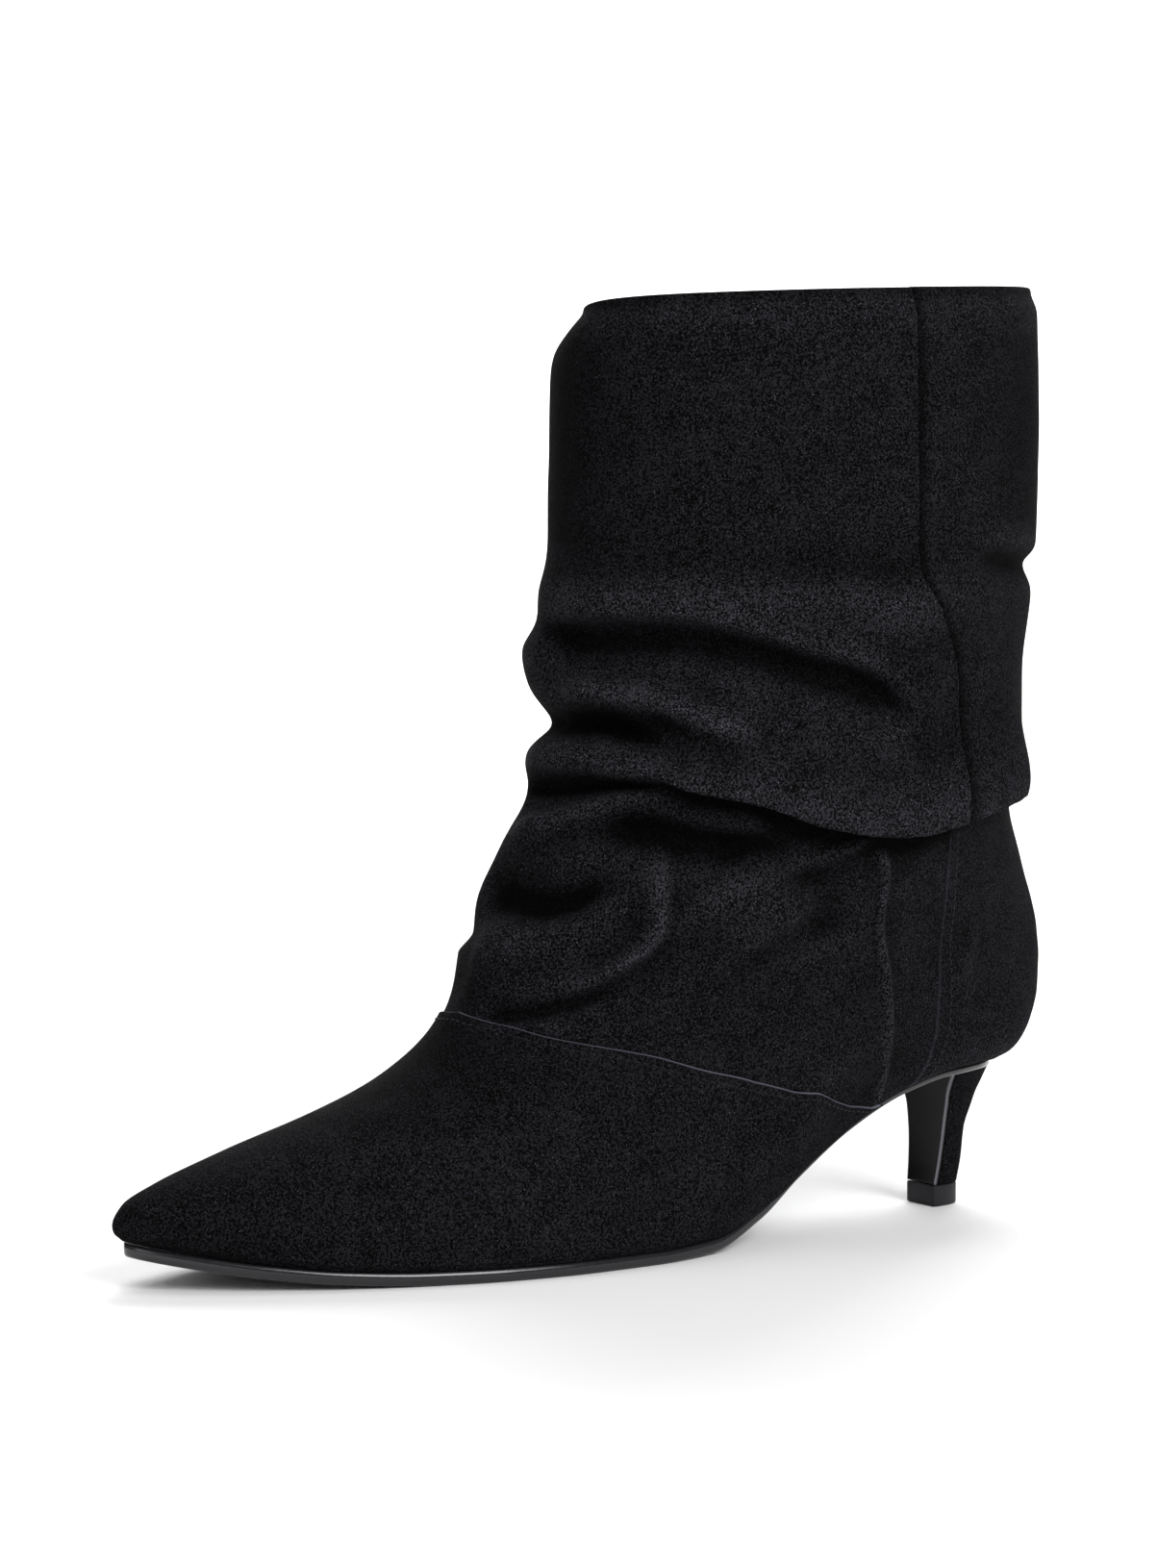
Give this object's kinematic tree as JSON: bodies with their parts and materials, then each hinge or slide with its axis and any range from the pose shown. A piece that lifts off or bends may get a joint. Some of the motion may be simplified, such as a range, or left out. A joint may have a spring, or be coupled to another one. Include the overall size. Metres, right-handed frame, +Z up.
{
  "type": "slouch boot",
  "caption": "Pull-on suede slouch boot with a pointed toe, folded shaft and low covered heel, left foot.",
  "frame": {"origin": "middle of the boot's base, on the floor under the middle of its bounding box", "axes": "+Z up, toe points to -Y, heel to +Y, +X is the outer side of this left boot"},
  "size_m": [0.1115, 0.2676, 0.239],
  "materials": {
    "suede": "black suede with a short mottled nap",
    "heel_suede": "black suede cover over a moulded heel",
    "sole": "black resin sole, glossy edge",
    "lining": "smooth dark lining leather",
    "patent": "glossy black breast cover",
    "rubber": "satin black"
  },
  "bodies": {
    "root": {"upper": "suede", "outsole": "sole", "insole": "lining", "heel": "heel_suede", "heel_breast": "patent", "top_piece": "rubber"}
  },
  "joints": []
}
